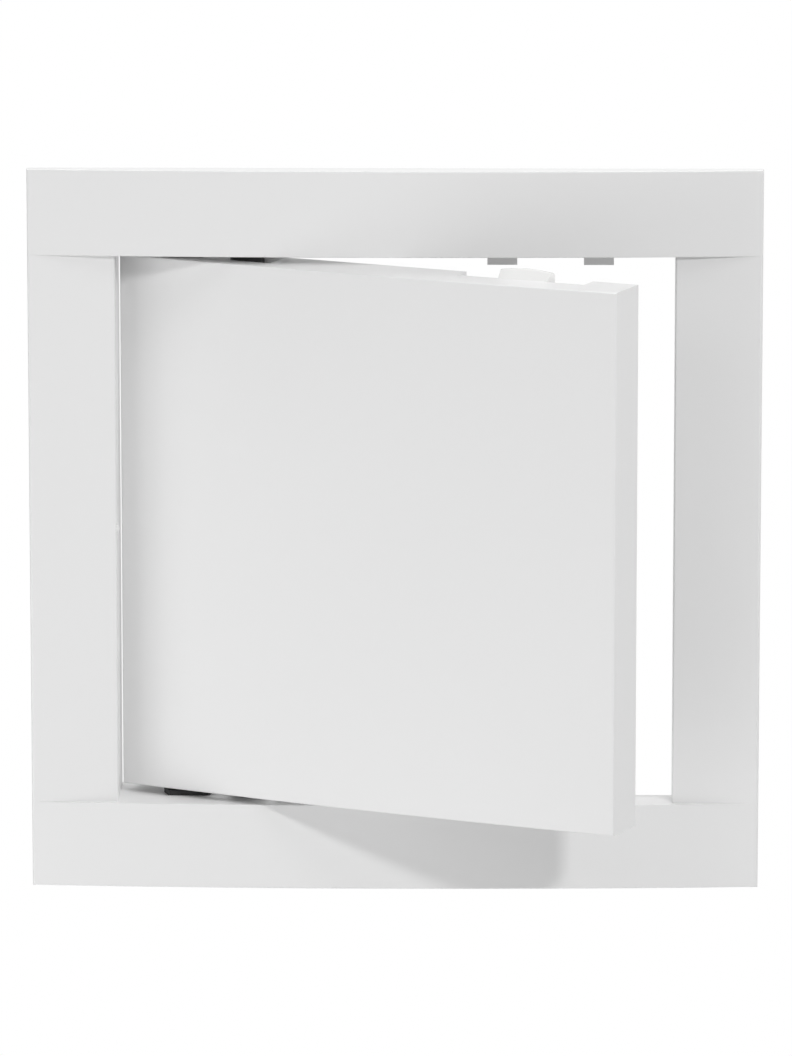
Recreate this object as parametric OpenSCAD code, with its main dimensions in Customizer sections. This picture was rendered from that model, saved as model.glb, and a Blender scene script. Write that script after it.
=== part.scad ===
// Square access panel: flanged frame with bowed rails and a tray door on two inset pivots.
// Millimetres, +Z up, front towards -Y, wall plane at y = 0, origin at the centre of the opening.

/* [Frame] */
// outer width and height of the flange
frame_size = 240; // [228:1:300]
// clear width and height of the opening
opening = 183; // [176:1:190]
// height of the flange's outer edge above the wall
edge_h = 3; // [2.6:0.1:5]
// how far the middle of a rail bows out past its ends
arch_rise = 4.1; // [2.5:0.1:6]
// how far a stile falls from its outer edge to the opening
stile_drop = 1; // [0.4:0.1:1.2]
// wall thickness of the hollow rails
shell = 2; // [1.6:0.1:2.4]
// wall thickness of the lip round the opening
lip_t = 2; // [1.6:0.1:2.4]
// reach of the lip behind the wall plane
lip_rear = 6.5; // [5:0.1:6.8]
// room between lip and collar
channel_w = 2.5; // [2:0.1:4]
// wall thickness of the collar
collar_t = 2; // [1.6:0.1:3]
// reach of the collar behind the wall plane
collar_depth = 28; // [24:1:40]
// number of stiffening ribs behind each rail
rail_ribs = 5; // [3:2:9]
// rounding of the flange's outer edge
edge_round = 0.9; // [0.4:0.1:1.4]
// rounding of the edges round the opening
lip_round = 0.4; // [0.2:0.1:0.8]
// radius of the small nub half-way up the hinge-side jamb
nub_r = 1.5; // [1:0.1:1.6]
// how far that nub stands out
nub_h = 0.9; // [0.5:0.1:1]
// distance of that nub behind the wall plane
nub_y = 0.2; // [0:0.1:0.6]

/* [Door] */
// gap between door and opening on each side
door_gap = 2.4; // [2.3:0.1:3]
// how far the door's face lies behind the rails' face
door_set = 1; // [0.4:0.1:1.6]
// thickness of the door's face
skin = 2.2; // [1.8:0.1:2.6]
// depth of the door's rim at its side edges
rim_depth = 17.5; // [16.5:0.1:19]
// thickness of the door's rim
rim_t = 2; // [1.6:0.1:2.4]
// rounding of the door's front edges
door_round = 0.7; // [0.3:0.1:1.2]
// height of the stiffening ribs behind the face
rib_h = 4; // [2:0.1:5]

/* [Hinge] */
// distance of the pivot from the door's hinge-side edge
pivot_in = 40.5; // [39.5:0.5:46]
// distance of the pivot behind the door's face at that edge
pivot_back = 12.8; // [12.2:0.1:13]
// radius of the hinge pins
pin_r = 2; // [1.5:0.1:2.5]
// radius of the brackets' knuckles
knuckle_r = 5.5; // [4.5:0.1:6.5]
// width of the rim's windows at the hinges
hinge_notch_w = 24.4; // [20:0.1:28]
// depth of the strip in front of those windows
hinge_strip = 6.4; // [5.8:0.1:6.8]
// wall of the round pockets that hold the knuckles
pocket_t = 1.5; // [1.2:0.1:2]
// thickness of the brackets' plates
plate_t = 2; // [1.4:0.1:2.2]
// thickness of the door's hinge lugs
lug_t = 6; // [4:0.5:8]
// width of the brackets' feet
foot_w = 16; // [13:0.5:17]
// distance of the feet from the hinge-side jamb
foot_in = 14.5; // [10:0.5:16]
// length of a foot's tapered end
foot_taper = 7; // [5:0.5:8]
// how far a foot narrows on its outer side
foot_nip = 2.2; // [1:0.1:3]
// width of the brackets' arms
arm_w = 6; // [4:0.5:7]
// radius of the pegs that fix the brackets
peg_r = 2.5; // [1.5:0.1:3]
// thickness of the cheeks under the brackets
cheek_t = 2; // [1.6:0.1:2.4]
// how far the cheeks lie outside the lip's face
cheek_drop = 0.5; // [0.4:0.1:1]
// reach of the cheeks past the knuckles
cheek_past = 8; // [4:0.5:12]
// half width of the webs between the lugs and the door's face
web_w = 4.5; // [3:0.1:6]
// distance of the lugs from the door's top and bottom edges
lug_in = 4.1; // [3.4:0.1:5]

/* [Latch] */
// distance of the clips' middle from the door's hinge-side edge
latch_in = 139.9; // [130:0.1:146]
// width of a clip
clip_w = 18.8; // [16:0.1:20]
// depth of a clip from front to back
clip_d = 6.2; // [5.6:0.1:6.6]
// height of a clip's crest above the lip's face
clip_bite = 0.5; // [0.2:0.1:0.8]
// how far the crest falls from its middle to its ends
crown_drop = 0.8; // [0.4:0.1:1.2]
// radius of the crest
crest_r = 1.3; // [1:0.1:1.6]
// how far a clip's front edge is set in at each end
end_taper = 1.2; // [0.4:0.1:1.6]
// width of the clip's legs
clip_wall = 1.6; // [1.2:0.1:2.2]
// height of the clip's foot with its ears
ear_h = 3; // [2:0.1:4]
// wall thickness of the clip's guide ribs and shelf
guide_t = 1.6; // [1.2:0.1:2]
// length of the clip's guide ribs
guide_h = 7; // [5:0.1:8]
// how far a clip can be pressed in
clip_travel = 1.6; // [1:0.1:2]
// width of the rim's notches at the latches
latch_notch_w = 44.8; // [43.4:0.1:48]
// depth of the strip in front of those notches
latch_strip = 11.6; // [10:0.1:12]
// width of the stop tabs
tab_w = 9.8; // [6:0.1:10.2]
// height of the stop tabs
tab_h = 4.4; // [3.4:0.1:5]
// thickness of the stop tabs
tab_t = 2.4; // [2:0.1:3]
// room between a clip and the tabs beside it
tab_room = 1.5; // [0.8:0.1:1.6]

/* [Hidden] */
// opening angle of the door as drawn
rest_angle = 24.5;
// running clearance of a pin in its lug
pin_run = 0.05;
// clearance of a pin in its bracket
pin_seat = 0.02;
// clearance between sliding or passing pieces
play = 0.3;
// overlap that joins two walls of one moulding
lap = 1;
half = frame_size / 2;
inner = opening / 2;
collar_in = inner + lip_t + channel_w;
collar_out = collar_in + collar_t;
arch_r = (half * half + arch_rise * arch_rise) / (2 * arch_rise);
arch_y = arch_r - edge_h - arch_rise;
arch_sweep = 2 * asin(1.1 * half / arch_r);
block_d = collar_depth + 4 * (edge_h + arch_rise);
door = opening - 2 * door_gap;
door_half = door / 2;
door_r = arch_r - door_set;
door_edge_y = face_y(door_r, door_half);
door_rear = door_edge_y + rim_depth;
pivot_x = pivot_in - door_half;
pivot_y = door_edge_y + pivot_back;
latch_x = latch_in - door_half;
hinge_y = face_y(door_r, pivot_x) + hinge_strip;
notch_y = face_y(door_r, latch_x) + latch_strip;
tab_y = notch_y + play;
tab_in = clip_w / 2 + tab_room;
cheek_z = inner + cheek_drop;
cheek_end = pivot_x + knuckle_r + cheek_past;
lug_top = door_half - lug_in;
foot_x = foot_in - inner;
foot_y = lip_rear + play;
arm_y = pivot_y + knuckle_r - play;
peg_y = arm_y + arm_w / 4;
clip_top = inner + clip_bite;
clip_y = notch_y + play;
crown_r = (clip_w * clip_w / 4 + crown_drop * crown_drop) / (2 * crown_drop);
guide_high = inner - tab_h - 3 * play;
guide_low = guide_high - guide_h;
ear_top = guide_low - pin_run * 4;
shelf_top = ear_top - ear_h - clip_travel - play;

// y of the bowed face of radius r at distance x from the middle
function face_y(r, x) = arch_y - sqrt(r * r - x * x);

// bowed block behind a face of radius r
module bowed(r, low, high)
    translate([0, arch_y, 0])
        rotate([0, 0, -90 - arch_sweep / 2])
            rotate_extrude(angle = arch_sweep, $fn = 720)
                translate([r - block_d, low])
                    square([block_d, high - low]);

// bowed block whose two long front edges are rounded
module bowed_round(r, low, high, low_round, high_round)
    translate([0, arch_y, 0])
        rotate([0, 0, -90 - arch_sweep / 2])
            rotate_extrude(angle = arch_sweep, $fn = 720)
                polygon([
                    [r - block_d, low],
                    [r - low_round, low],
                    [r - 0.29 * low_round, low + 0.29 * low_round],
                    [r, low + low_round],
                    [r, high - high_round],
                    [r - 0.29 * high_round, high - 0.29 * high_round],
                    [r - high_round, high],
                    [r - block_d, high]
                ]);

// plan outline between two sides at x = -side and side, rounded at the front corners
module plan_outline(r, side, rear, front_round)
    polygon([
        [-side, rear],
        [-side, face_y(r, side) + front_round],
        [0.29 * front_round - side, face_y(r, side) + 0.29 * front_round],
        [front_round - side, face_y(r, side - front_round) - 0.02],
        [front_round - side, -block_d],
        [side - front_round, -block_d],
        [side - front_round, face_y(r, side - front_round) - 0.02],
        [side - 0.29 * front_round, face_y(r, side) + 0.29 * front_round],
        [side, face_y(r, side) + front_round],
        [side, rear]
    ]);

// box given by its two corners
module span(low, high)
    translate(low)
        cube(high - low);

// upper rail: hollow bowed bar with ribs behind it
module rail() {
    difference() {
        intersection() {
            bowed_round(arch_r, inner, half, lip_round, edge_round);
            linear_extrude(height = frame_size)
                plan_outline(arch_r, half, 0, edge_round);
        }
        intersection() {
            bowed(arch_r - shell, inner + lip_t, half - shell);
            span([shell - half, -block_d, inner], [half - shell, 1, half]);
        }
    }
    for (i = [0 : rail_ribs - 1]) {
        rib_x = (i - (rail_ribs - 1) / 2) * 1.6 * collar_in / (rail_ribs - 1);
        intersection() {
            bowed(arch_r - shell / 2, collar_out - lap, half - shell / 2);
            span([rib_x - 0.8, -block_d, inner], [rib_x + 0.8, 0, half]);
        }
    }
}

// left stile: flat plate that falls towards the opening
module stile()
    translate([0, 0, -inner - lap])
        linear_extrude(height = opening + 2 * lap)
            polygon([
                [-half, 0],
                [-half, edge_round - edge_h],
                [0.29 * edge_round - half, 0.29 * edge_round - edge_h],
                [edge_round - half, stile_drop * edge_round / (half - inner) - edge_h],
                [-inner - lip_round, stile_drop - edge_h],
                [-inner, stile_drop - edge_h + lip_round],
                [-inner, 0]
            ]);

// upper wall of the collar, up to the rail's skin
module collar_wall()
    intersection() {
        bowed(arch_r - shell / 2, collar_in, collar_out);
        span([-collar_out, -block_d, 0], [collar_out, collar_depth, half]);
    }

// right wall of the collar, with its corners up to the rails' skin
module collar_side() {
    span([collar_in, -lap, -collar_out], [collar_out, collar_depth, collar_out]);
    for (s = [0, 1])
        mirror([0, 0, s])
            intersection() {
                bowed(arch_r - shell / 2, inner + lip_t - lap, collar_out);
                span([collar_in, -block_d, 0], [collar_out, 0, half]);
            }
}

// upper part of the lip, with its stop tabs and the hinge cheek
module lip_top() {
    span([-inner - lip_t, -lap, inner], [inner + lip_t, lip_rear, inner + lip_t]);
    for (x = [latch_x - tab_in - tab_w, latch_x + tab_in]) {
        span([x, tab_y, inner - tab_h], [x + tab_w, tab_y + tab_t, inner + lap]);
        span([x, lip_rear - lap, inner], [x + tab_w, tab_y + tab_t, inner + lip_t]);
    }
    difference() {
        union() {
            span([-collar_in - lap, lip_rear - lap, cheek_z],
                [cheek_end, collar_depth, cheek_z + cheek_t]);
            span([cheek_end - cheek_t, lip_rear - lap, cheek_z],
                [cheek_end, collar_depth, collar_in + lap]);
        }
        translate([foot_x + foot_w / 2, peg_y, cheek_z - 1])
            cylinder(r = peg_r + pin_run, h = cheek_t + 2, $fn = 64);
    }
}

// domed nub on the hinge-side jamb
module nub()
    translate([-inner, nub_y, 0])
        rotate([0, 90, 0])
            rotate_extrude($fn = 48)
                polygon([
                    [0, -lap],
                    [nub_r, -lap],
                    [nub_r, 0.4 * nub_h],
                    [0.8 * nub_r, 0.8 * nub_h],
                    [0.45 * nub_r, nub_h],
                    [0, nub_h]
                ]);

module frame()
    color("white") {
        for (s = [0, 1])
            mirror([0, 0, s]) {
                rail();
                collar_wall();
                lip_top();
            }
        for (s = [0, 1])
            mirror([s, 0, 0]) {
                stile();
                collar_side();
            }
        span([inner, -lap, -inner - lip_t], [inner + lip_t, lip_rear, inner + lip_t]);
        span([-inner - lip_t, -lap, -inner - lip_t], [-inner, collar_depth, inner + lip_t]);
        nub();
    }

// turns children from the closed door to the door as drawn
module swung()
    translate([pivot_x, pivot_y, 0])
        rotate([0, 0, -rest_angle])
            translate([-pivot_x, -pivot_y, 0])
                children();

// upper hinge lug of the door with the round pocket above it, without its bore
module lug() {
    translate([pivot_x, pivot_y, lug_top - lug_t])
        cylinder(r = knuckle_r + play + pocket_t, h = door_half - lug_top + lug_t, $fn = 96);
    intersection() {
        bowed(door_r - skin / 2, lug_top - lug_t, lug_top);
        span([pivot_x - web_w, -block_d, 0], [pivot_x + web_w, pivot_y, door_half]);
    }
}

// room for the upper hinge: window in the rim, knuckle pocket and pin bore
module lug_room() {
    span([pivot_x - hinge_notch_w / 2, hinge_y, door_half - rim_t - 1],
        [pivot_x + hinge_notch_w / 2, door_rear - rim_t, door]);
    translate([pivot_x, pivot_y, lug_top])
        cylinder(r = knuckle_r + play, h = door, $fn = 96);
    translate([pivot_x, pivot_y, lug_top - lug_t - 1])
        cylinder(r = pin_r + pin_run, h = lug_t + 2, $fn = 64);
}

// guide ribs and shelf that hold the upper latch clip
module clip_guide()
    intersection() {
        bowed(door_r - skin / 2, shelf_top - guide_t, guide_high);
        union() {
            for (s = [-1, 1])
                translate([latch_x + s * (clip_w + guide_t + 2 * play) / 2 - guide_t / 2,
                        -block_d, guide_low])
                    cube([guide_t, block_d + door_rear - 1, guide_high - guide_low]);
            span([latch_x - clip_w / 2 - guide_t - play, -block_d, shelf_top - guide_t],
                [latch_x + clip_w / 2 + guide_t + play, door_rear - 1, shelf_top]);
        }
    }

// stiffening ribs behind the door's face
module door_ribs()
    difference() {
        intersection() {
            bowed(door_r - skin / 2, -door_half + rim_t / 2, door_half - rim_t / 2);
            union() {
                for (x = [-door_half * 0.8, -door_half * 0.25, door_half * 0.25])
                    span([x - 0.75, -block_d, -door_half], [x + 0.75, block_d, door_half]);
                for (z = [-door_half / 2, 0, door_half / 2])
                    span([rim_t / 2 - door_half, -block_d, z - 0.75],
                        [door_half - rim_t / 2, block_d, z + 0.75]);
            }
        }
        bowed(door_r - skin - rib_h, -door, door);
    }

module door_panel()
    color("white")
        swung()
            difference() {
                union() {
                    difference() {
                        intersection() {
                            bowed_round(door_r, -door_half, door_half, door_round, door_round);
                            translate([0, 0, -door])
                                linear_extrude(height = 2 * door)
                                    plan_outline(door_r, door_half, door_rear, door_round);
                        }
                        intersection() {
                            bowed(door_r - skin, rim_t - door_half, door_half - rim_t);
                            span([rim_t - door_half, -block_d, -door],
                                [door_half - rim_t, block_d, door]);
                        }
                        for (s = [0, 1])
                            mirror([0, 0, s])
                                span([latch_x - latch_notch_w / 2, notch_y, door_half - rim_t - 1],
                                    [latch_x + latch_notch_w / 2, block_d, door]);
                    }
                    door_ribs();
                    for (s = [0, 1])
                        mirror([0, 0, s]) {
                            lug();
                            clip_guide();
                        }
                }
                for (s = [0, 1])
                    mirror([0, 0, s])
                        lug_room();
            }

// bracket of the upper hinge: tapered foot, arm and knuckle
module bracket()
    difference() {
        union() {
            translate([0, 0, cheek_z - plate_t])
                linear_extrude(height = plate_t)
                    polygon([
                        [foot_x + foot_nip, foot_y],
                        [foot_x, foot_y + foot_taper],
                        [foot_x, arm_y + arm_w],
                        [pivot_x + knuckle_r, arm_y + arm_w],
                        [pivot_x + knuckle_r, pivot_y],
                        [pivot_x - knuckle_r, pivot_y],
                        [pivot_x - knuckle_r, arm_y],
                        [foot_x + foot_w, arm_y],
                        [foot_x + foot_w, foot_y + 0.7 * foot_taper],
                        [foot_x + foot_w - 0.55 * foot_nip, foot_y]
                    ]);
            translate([pivot_x, pivot_y, lug_top + play])
                cylinder(r = knuckle_r, h = inner - lug_top - 2 * play, $fn = 96);
            translate([foot_x + foot_w / 2, peg_y, cheek_z - plate_t])
                cylinder(r = peg_r, h = plate_t + cheek_t, $fn = 64);
        }
        translate([pivot_x, pivot_y, 0])
            cylinder(r = pin_r + pin_seat, h = half, $fn = 64);
    }

module hinge_bracket_top()
    color("black")
        bracket();

module hinge_bracket_bottom()
    color("black")
        mirror([0, 0, 1])
            bracket();

// pin of the upper hinge, its end flat on the cheek
module pin()
    translate([pivot_x, pivot_y, lug_top - lug_t])
        cylinder(r = pin_r, h = cheek_z - lug_top + lug_t, $fn = 64);

module hinge_pin_top()
    color("silver")
        pin();

module hinge_pin_bottom()
    color("silver")
        mirror([0, 0, 1])
            pin();

// section of the clip's catch from its front edge over the crest to its back, around the crown's axis
module catch_section() {
    crest_y = clip_y + clip_d - crest_r;
    front_r = crown_r - clip_bite - door_gap - play;
    foot_r = crown_r - clip_top + guide_high - lap;
    rise = crown_r - crest_r - front_r;
    reach = crest_y - clip_y;
    ramp = atan2(rise, reach) + asin(crest_r / sqrt(rise * rise + reach * reach));
    crest = [for (a = [90 + ramp : -(90 + ramp) / 8 : 0.1])
        [crown_r - crest_r + crest_r * sin(a), -crest_y - crest_r * cos(a)]];
    polygon(concat(
        [[foot_r, -clip_y], [front_r, -clip_y]],
        crest,
        [[crown_r - crest_r, -clip_y - clip_d], [foot_r, -clip_y - clip_d]]
    ));
}

// upper latch clip: crowned catch on a sprung loop with two ears under the guide ribs
module clip()
    swung()
        translate([latch_x, 0, 0]) {
            intersection() {
                translate([0, 0, clip_top - crown_r])
                    rotate([90, 0, 0])
                        rotate([0, 0, 60])
                            rotate_extrude(angle = 60, $fn = 360)
                                catch_section();
                linear_extrude(height = half)
                    polygon([
                        [end_taper - clip_w / 2, clip_y],
                        [clip_w / 2 - end_taper, clip_y],
                        [clip_w / 2, clip_y + clip_d],
                        [-clip_w / 2, clip_y + clip_d]
                    ]);
            }
            translate([0, clip_y + clip_d, 0])
                rotate([90, 0, 0])
                    linear_extrude(height = clip_d - play)
                        difference() {
                            union() {
                                translate([-clip_w / 2, ear_top - ear_h])
                                    square([clip_w, guide_high - ear_top + ear_h]);
                                translate([-clip_w / 2 - guide_t, ear_top - ear_h])
                                    square([clip_w + 2 * guide_t, ear_h]);
                            }
                            translate([clip_wall - clip_w / 2, ear_top])
                                square([clip_w - 2 * clip_wall, guide_high - clip_wall - ear_top]);
                        }
        }

module latch_clip_top()
    color("whitesmoke")
        clip();

module latch_clip_bottom()
    color("whitesmoke")
        mirror([0, 0, 1])
            clip();

frame();
door_panel();
hinge_bracket_top();
hinge_bracket_bottom();
hinge_pin_top();
hinge_pin_bottom();
latch_clip_top();
latch_clip_bottom();
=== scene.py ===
import bpy
import bmesh
import math
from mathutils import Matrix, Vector


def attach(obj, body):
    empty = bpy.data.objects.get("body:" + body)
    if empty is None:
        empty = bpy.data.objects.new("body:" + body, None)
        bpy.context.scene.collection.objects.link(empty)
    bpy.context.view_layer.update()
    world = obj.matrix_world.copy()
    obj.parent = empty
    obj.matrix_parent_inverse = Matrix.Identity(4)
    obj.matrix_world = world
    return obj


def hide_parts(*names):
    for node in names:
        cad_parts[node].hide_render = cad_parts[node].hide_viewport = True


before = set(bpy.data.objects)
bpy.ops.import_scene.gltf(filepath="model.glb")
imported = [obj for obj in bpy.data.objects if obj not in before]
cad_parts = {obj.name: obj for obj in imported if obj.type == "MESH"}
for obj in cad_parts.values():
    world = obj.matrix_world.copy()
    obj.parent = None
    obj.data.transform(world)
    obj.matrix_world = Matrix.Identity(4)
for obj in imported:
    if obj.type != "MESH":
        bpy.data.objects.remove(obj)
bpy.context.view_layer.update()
print("stage: frame loaded,", len(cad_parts), "nodes")


# small helpers for node trees

def addNode(tree, kind, place, **values):
    node = tree.nodes.new(kind)
    node.location = place
    for key, value in values.items():
        setattr(node, key, value)
    return node


def fill(node, values):
    for label, value in values.items():
        node.inputs[label].default_value = value


def link(tree, outSocket, inSocket):
    tree.links.new(outSocket, inSocket)


def opaque(colour):
    return (*colour, 1.0)


def newGroup(name, inputs, outputs):
    tree = bpy.data.node_groups.new(name, "ShaderNodeTree")
    for way, labels in (("INPUT", inputs), ("OUTPUT", outputs)):
        for label in labels:
            kind = "NodeSocketVector" if label == "Vector" else "NodeSocketFloat"
            tree.interface.new_socket(name=label, in_out=way, socket_type=kind)
    source = addNode(tree, "NodeGroupInput", (-900, 0))
    target = addNode(tree, "NodeGroupOutput", (700, 0))
    return tree, source, target


def newFinish(name):
    mat = bpy.data.materials.new(name)
    mat.use_nodes = True
    tree = mat.node_tree
    tree.nodes.clear()
    out = addNode(tree, "ShaderNodeOutputMaterial", (900, 0))
    return mat, tree, out


# shared effects: the fine grain of the mould, the slow flow of the plastic, and specks of dust

grainSet = {"grainDetail": 3.0, "flowDetail": 2.0, "flowRoughness": 0.4, "flowLow": 0.3, "flowHigh": 0.7}
dustSet = {"bareShare": 0.82}  # cells that hold no speck


def buildMouldGrain():
    tree, source, target = newGroup(
        "mouldGrain",
        ("Vector", "Grain Scale", "Flow Scale", "Roughness Low", "Roughness High"),
        ("Height", "Flow", "Roughness"),
    )
    fine = addNode(tree, "ShaderNodeTexNoise", (-600, 200), noise_dimensions="3D")
    flow = addNode(tree, "ShaderNodeTexNoise", (-600, -150), noise_dimensions="3D")
    spread = addNode(tree, "ShaderNodeMapRange", (-100, -250))
    fill(fine, {"Detail": grainSet["grainDetail"]})
    fill(flow, {"Detail": grainSet["flowDetail"], "Roughness": grainSet["flowRoughness"]})
    fill(spread, {"From Min": grainSet["flowLow"], "From Max": grainSet["flowHigh"]})
    for noise, label in ((fine, "Grain Scale"), (flow, "Flow Scale")):
        link(tree, source.outputs["Vector"], noise.inputs["Vector"])
        link(tree, source.outputs[label], noise.inputs["Scale"])
    link(tree, flow.outputs["Fac"], spread.inputs["Value"])
    link(tree, source.outputs["Roughness Low"], spread.inputs["To Min"])
    link(tree, source.outputs["Roughness High"], spread.inputs["To Max"])
    link(tree, fine.outputs["Fac"], target.inputs["Height"])
    link(tree, flow.outputs["Fac"], target.inputs["Flow"])
    link(tree, spread.outputs["Result"], target.inputs["Roughness"])
    return tree


def buildDustSpecks():
    tree, source, target = newGroup("dustSpecks", ("Vector", "Speck Scale", "Speck Size"), ("Mask",))
    cells = addNode(tree, "ShaderNodeTexVoronoi", (-600, 100), voronoi_dimensions="3D")
    near = addNode(tree, "ShaderNodeMath", (-300, 100), operation="LESS_THAN")
    split = addNode(tree, "ShaderNodeSeparateColor", (-450, -120))
    pick = addNode(tree, "ShaderNodeMath", (-300, -120), operation="GREATER_THAN")
    both = addNode(tree, "ShaderNodeMath", (0, 0), operation="MULTIPLY")
    fill(cells, {"Randomness": 1.0})
    fill(pick, {1: dustSet["bareShare"]})
    link(tree, source.outputs["Vector"], cells.inputs["Vector"])
    link(tree, source.outputs["Speck Scale"], cells.inputs["Scale"])
    link(tree, cells.outputs["Distance"], near.inputs[0])
    link(tree, source.outputs["Speck Size"], near.inputs[1])
    link(tree, cells.outputs["Color"], split.inputs["Color"])
    link(tree, split.outputs["Red"], pick.inputs[0])
    link(tree, near.outputs["Value"], both.inputs[0])
    link(tree, pick.outputs["Value"], both.inputs[1])
    link(tree, both.outputs["Value"], target.inputs["Mask"])
    return tree


mouldGrain = buildMouldGrain()
dustSpecks = buildDustSpecks()
print("stage: shader groups built")


# finishes

def mouldedPlastic(name, look):
    mat, tree, out = newFinish(name)
    coords = addNode(tree, "ShaderNodeTexCoord", (-900, 0))
    grain = addNode(tree, "ShaderNodeGroup", (-550, 150), node_tree=mouldGrain)
    dust = addNode(tree, "ShaderNodeGroup", (-550, -250), node_tree=dustSpecks)
    tint = addNode(tree, "ShaderNodeMix", (-150, 250), data_type="RGBA")
    speckle = addNode(tree, "ShaderNodeMix", (150, 200), data_type="RGBA")
    bump = addNode(tree, "ShaderNodeBump", (150, -300))
    skin = addNode(tree, "ShaderNodeBsdfPrincipled", (550, 0))
    fill(grain, {"Grain Scale": look["grainScale"], "Flow Scale": look["flowScale"]})
    fill(grain, {"Roughness Low": look["roughLow"], "Roughness High": look["roughHigh"]})
    fill(dust, {"Speck Scale": look["speckScale"], "Speck Size": look["speckSize"]})
    fill(tint, {"A": opaque(look["colour"]), "B": opaque(look["flowColour"])})
    fill(speckle, {"B": opaque(look["dustColour"])})
    fill(bump, {"Strength": look["grainStrength"], "Distance": look["grainDepth"]})
    fill(skin, {"IOR": look["ior"], "Specular IOR Level": look["specular"]})
    for group in (grain, dust):
        link(tree, coords.outputs["Object"], group.inputs["Vector"])
    link(tree, grain.outputs["Flow"], tint.inputs["Factor"])
    link(tree, tint.outputs["Result"], speckle.inputs["A"])
    link(tree, dust.outputs["Mask"], speckle.inputs["Factor"])
    link(tree, speckle.outputs["Result"], skin.inputs["Base Color"])
    link(tree, grain.outputs["Roughness"], skin.inputs["Roughness"])
    link(tree, grain.outputs["Height"], bump.inputs["Height"])
    link(tree, bump.outputs["Normal"], skin.inputs["Normal"])
    link(tree, skin.outputs["BSDF"], out.inputs["Surface"])
    return mat


def drawnSteel(name, look):
    mat, tree, out = newFinish(name)
    coords = addNode(tree, "ShaderNodeTexCoord", (-900, 0))
    stretch = addNode(tree, "ShaderNodeMapping", (-700, 0))
    lines = addNode(tree, "ShaderNodeTexNoise", (-450, 0), noise_dimensions="3D")
    shade = addNode(tree, "ShaderNodeMix", (-100, 150), data_type="RGBA")
    rough = addNode(tree, "ShaderNodeMapRange", (-100, -150))
    skin = addNode(tree, "ShaderNodeBsdfPrincipled", (400, 0))
    fill(stretch, {"Scale": look["drawScale"]})
    fill(lines, {"Scale": 1.0, "Detail": look["drawDetail"]})
    fill(shade, {"A": opaque(look["dark"]), "B": opaque(look["bright"])})
    fill(rough, {"To Min": look["roughLow"], "To Max": look["roughHigh"]})
    fill(skin, {"Metallic": 1.0})
    link(tree, coords.outputs["Object"], stretch.inputs["Vector"])
    link(tree, stretch.outputs["Vector"], lines.inputs["Vector"])
    link(tree, lines.outputs["Fac"], shade.inputs["Factor"])
    link(tree, lines.outputs["Fac"], rough.inputs["Value"])
    link(tree, shade.outputs["Result"], skin.inputs["Base Color"])
    link(tree, rough.outputs["Result"], skin.inputs["Roughness"])
    link(tree, skin.outputs["BSDF"], out.inputs["Surface"])
    return mat


frameLook = {
    "colour": (0.87, 0.87, 0.87),
    "flowColour": (0.85, 0.85, 0.85),
    "dustColour": (0.55, 0.55, 0.54),
    "grainScale": 1400.0,  # about 0.7 mm
    "flowScale": 9.0,
    "grainStrength": 0.06,
    "grainDepth": 0.0002,
    "roughLow": 0.3,
    "roughHigh": 0.36,
    "speckScale": 48.0,  # one cell every 20 mm
    "speckSize": 0.012,
    "ior": 1.5,
    "specular": 0.5,
}
doorLook = dict(frameLook, flowScale=7.0, roughLow=0.27, roughHigh=0.33)
clipLook = dict(
    frameLook,
    colour=(0.89, 0.89, 0.88),
    flowColour=(0.87, 0.87, 0.86),
    roughLow=0.2,
    roughHigh=0.26,
)
hingeLook = dict(
    frameLook,
    colour=(0.011, 0.011, 0.012),
    flowColour=(0.016, 0.016, 0.016),
    dustColour=(0.06, 0.06, 0.06),
    grainStrength=0.15,
    roughLow=0.45,
    roughHigh=0.58,
    speckScale=220.0,
    speckSize=0.03,
)
pinLook = {
    "dark": (0.34, 0.34, 0.35),
    "bright": (0.52, 0.52, 0.53),
    "drawScale": (1800.0, 1800.0, 60.0),  # the lines run along the pin
    "drawDetail": 4.0,
    "roughLow": 0.28,
    "roughHigh": 0.42,
}
framePlastic = mouldedPlastic("framePlastic", frameLook)
doorPlastic = mouldedPlastic("doorPlastic", doorLook)
clipPlastic = mouldedPlastic("clipPlastic", clipLook)
hingePlastic = mouldedPlastic("hingePlastic", hingeLook)
pinSteel = drawnSteel("pinSteel", pinLook)
print("stage: finishes built")


# smooth-shaded copies of the CAD nodes

copySet = {"mergeAt": 2e-6, "flatWithin": 0.05, "mostSides": 4}  # metres, degrees, sides of a face


def weighCorners(mesh, sharpAt):
    # a corner takes the normals of the faces round it that turn less than sharpAt from its own,
    # and the widest face counts most
    limit = math.cos(math.radians(sharpAt))
    around = [[] for vertex in mesh.vertices]
    for face in mesh.polygons:
        for index in face.vertices:
            around[index].append((face.normal.copy(), face.area ** 2))
    normals = []
    for face in mesh.polygons:
        for index in face.vertices:
            total = Vector((0.0, 0.0, 0.0))
            for normal, weight in around[index]:
                if face.normal.dot(normal) > limit:
                    total += normal * weight
            normals.append(total.normalized() if total.length > 0.0 else face.normal.copy())
    mesh.set_sharp_from_angle(angle=math.radians(sharpAt))
    mesh.normals_split_custom_set(normals)


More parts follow.
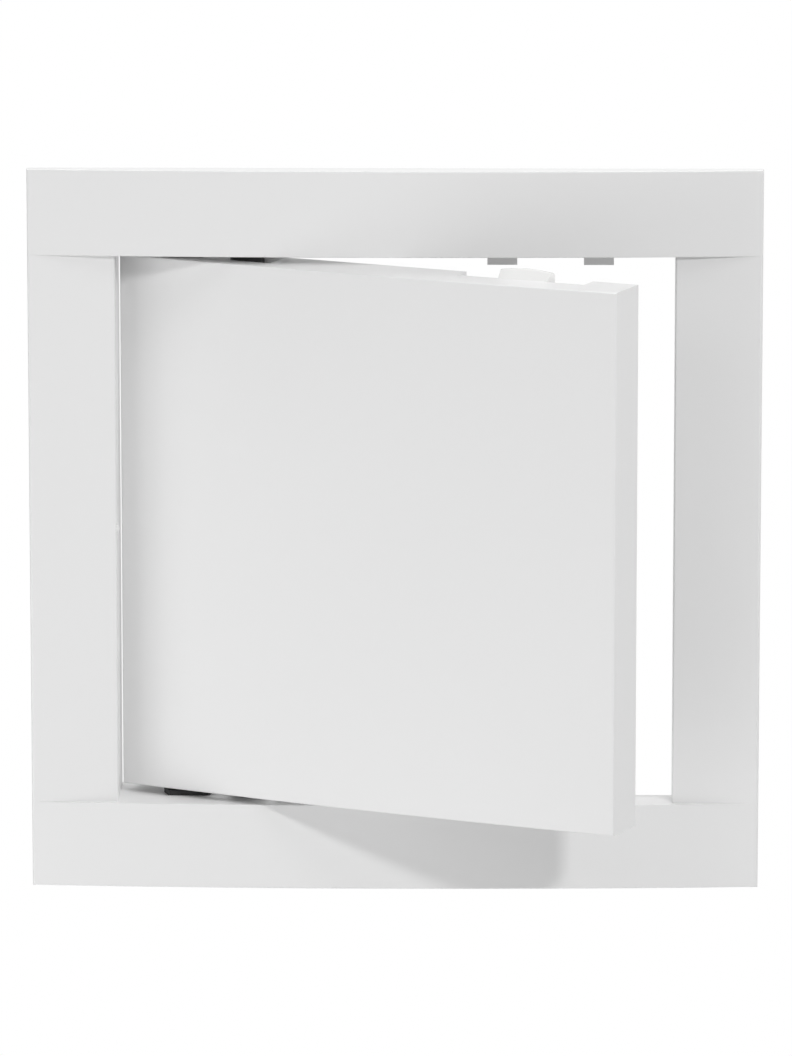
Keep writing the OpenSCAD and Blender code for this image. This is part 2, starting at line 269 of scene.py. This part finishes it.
def dressNode(nodeName, piece):
    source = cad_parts[nodeName]
    mesh = source.data.copy()
    mesh.name = piece["name"]
    work = bmesh.new()
    work.from_mesh(mesh)
    flatWithin = math.radians(copySet["flatWithin"])
    bmesh.ops.remove_doubles(work, verts=work.verts, dist=copySet["mergeAt"])
    bmesh.ops.dissolve_limit(work, angle_limit=flatWithin, verts=work.verts, edges=work.edges)
    manySided = [face for face in work.faces if len(face.verts) > copySet["mostSides"]]
    bmesh.ops.triangulate(work, faces=manySided)
    for face in work.faces:
        face.smooth = True
    work.to_mesh(mesh)
    work.free()
    weighCorners(mesh, piece["sharpAt"])
    obj = bpy.data.objects.new(piece["name"], mesh)
    bpy.context.scene.collection.objects.link(obj)
    mesh.materials.clear()
    mesh.materials.append(piece["finish"])
    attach(obj, piece["body"])
    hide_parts(nodeName)


framePiece = {
    "name": "frame_moulding",
    "body": "frame_body",
    "finish": framePlastic,
    "slot": "frame_white",
    "sharpAt": 30.0,
}
doorPiece = {
    "name": "door_moulding",
    "body": "door",
    "finish": doorPlastic,
    "slot": "door_white",
    "sharpAt": 30.0,
}
bracketPiece = {"body": "frame_body", "finish": hingePlastic, "slot": "hinge_black", "sharpAt": 40.0}
pinPiece = {"body": "frame_body", "finish": pinSteel, "slot": "pin_steel", "sharpAt": 40.0}
clipPiece = {"finish": clipPlastic, "slot": "clip_white", "sharpAt": 40.0}

dressNode("frame", framePiece)
dressNode("door_panel", doorPiece)
for side in ("top", "bottom"):
    dressNode("hinge_bracket_" + side, dict(bracketPiece, name="bracket_" + side))
    dressNode("hinge_pin_" + side, dict(pinPiece, name="pin_" + side))
    dressNode("latch_clip_" + side, dict(clipPiece, name="clip_" + side, body="latch_" + side))
print("stage: pieces dressed")


# studio

floorSet = {"size": 6.0, "height": -0.62, "colour": (0.85, 0.85, 0.85)}
worldSet = {"colour": (1.0, 1.0, 1.0), "ambient": 0.315, "background": 1.0}
cameraSet = {
    "azimuth": 0.72,
    "elevation": 11.4,
    "distance": 2.6,
    "lens": 269.8,
    "sensor": 36.0,
    "farthest": 50.0,
    "aim": (0.0003, 0.0, 0.0005),
}
lampSet = {
    "keyRight": {"azimuth": 33.0, "elevation": 28.5, "distance": 1.8, "size": (0.16, 0.16), "power": 9.8},
    "keyLeft": {"azimuth": -34.0, "elevation": 28.0, "distance": 1.8, "size": (0.5, 0.5), "power": 1.4},
    "lowLeft": {"azimuth": -56.0, "elevation": -28.0, "distance": 0.75, "size": (0.7, 0.6), "power": 1.7},
    "overhead": {"azimuth": 0.0, "elevation": 70.0, "distance": 1.6, "size": (1.0, 0.6), "power": 5.8},
    "sideRight": {"azimuth": 100.0, "elevation": 0.0, "distance": 1.5, "size": (0.5, 0.5), "power": 2.0},
    "backTop": {"azimuth": 180.0, "elevation": 55.0, "distance": 1.8, "size": (1.4, 0.9), "power": 11.0},
}
withoutGlare = ("keyRight",)  # small and strong, it would burn out the rim of the open door from behind


def viewPoint(place):
    # azimuth 0 is the room side, and it grows to the right
    a, e = math.radians(place["azimuth"]), math.radians(place["elevation"])
    way = Vector((math.sin(a) * math.cos(e), -math.cos(a) * math.cos(e), math.sin(e)))
    return way * place["distance"]


def lookAlong(obj, way):
    obj.rotation_euler = way.to_track_quat("-Z", "Y").to_euler()
    bpy.context.scene.collection.objects.link(obj)


def whiteToCamera(tree, plainShader, out, glowKind):
    # camera, mirror and see-through rays get the plain white, the rest the shader
    path = addNode(tree, "ShaderNodeLightPath", (-600, 300))
    first = addNode(tree, "ShaderNodeMath", (-350, 300), operation="MAXIMUM")
    second = addNode(tree, "ShaderNodeMath", (-150, 300), operation="MAXIMUM")
    glow = addNode(tree, glowKind, (-150, -200))
    mix = addNode(tree, "ShaderNodeMixShader", (150, 0))
    fill(glow, {"Color": opaque(worldSet["colour"]), "Strength": worldSet["background"]})
    link(tree, path.outputs["Is Camera Ray"], first.inputs[0])
    link(tree, path.outputs["Is Transmission Ray"], first.inputs[1])
    link(tree, first.outputs["Value"], second.inputs[0])
    link(tree, path.outputs["Is Glossy Ray"], second.inputs[1])
    link(tree, second.outputs["Value"], mix.inputs["Fac"])
    link(tree, plainShader, mix.inputs[1])
    link(tree, glow.outputs[0], mix.inputs[2])
    link(tree, mix.outputs["Shader"], out.inputs["Surface"])


def buildFloor():
    half, z = floorSet["size"] / 2, floorSet["height"]
    corners = [(-half, -half, z), (half, -half, z), (half, half, z), (-half, half, z)]
    mesh = bpy.data.meshes.new("studioFloor")
    mesh.from_pydata(corners, [], [(0, 1, 2, 3)])
    floor = bpy.data.objects.new("studioFloor", mesh)
    bpy.context.scene.collection.objects.link(floor)
    mat, tree, out = newFinish("paleFloor")
    matt = addNode(tree, "ShaderNodeBsdfDiffuse", (-150, 0))
    fill(matt, {"Color": opaque(floorSet["colour"])})
    whiteToCamera(tree, matt.outputs["BSDF"], out, "ShaderNodeEmission")
    mesh.materials.append(mat)


def buildWorld():
    world = bpy.data.worlds.new("studioWorld")
    bpy.context.scene.world = world
    world.use_nodes = True
    tree = world.node_tree
    tree.nodes.clear()
    out = addNode(tree, "ShaderNodeOutputWorld", (400, 0))
    ambient = addNode(tree, "ShaderNodeBackground", (-150, 0))
    fill(ambient, {"Color": opaque(worldSet["colour"]), "Strength": worldSet["ambient"]})
    whiteToCamera(tree, ambient.outputs["Background"], out, "ShaderNodeBackground")


def buildLamps():
    for name, lamp in lampSet.items():
        data = bpy.data.lights.new(name, "AREA")
        data.shape = "RECTANGLE"
        data.size, data.size_y = lamp["size"]
        data.energy = lamp["power"]
        obj = bpy.data.objects.new(name, data)
        obj.location = viewPoint(lamp)
        obj.visible_camera = False
        obj.visible_glossy = name not in withoutGlare
        lookAlong(obj, -obj.location)


def buildCamera():
    data = bpy.data.cameras.new("photoCamera")
    data.sensor_fit = "VERTICAL"
    data.sensor_height = cameraSet["sensor"]
    data.lens = cameraSet["lens"]
    data.clip_end = cameraSet["farthest"]
    camera = bpy.data.objects.new("photoCamera", data)
    away = viewPoint(cameraSet)
    camera.location = Vector(cameraSet["aim"]) + away
    lookAlong(camera, -away)
    bpy.context.scene.camera = camera


buildFloor()
buildWorld()
buildLamps()
buildCamera()
bpy.context.scene.view_settings.view_transform = "Standard"
print("stage: studio built")
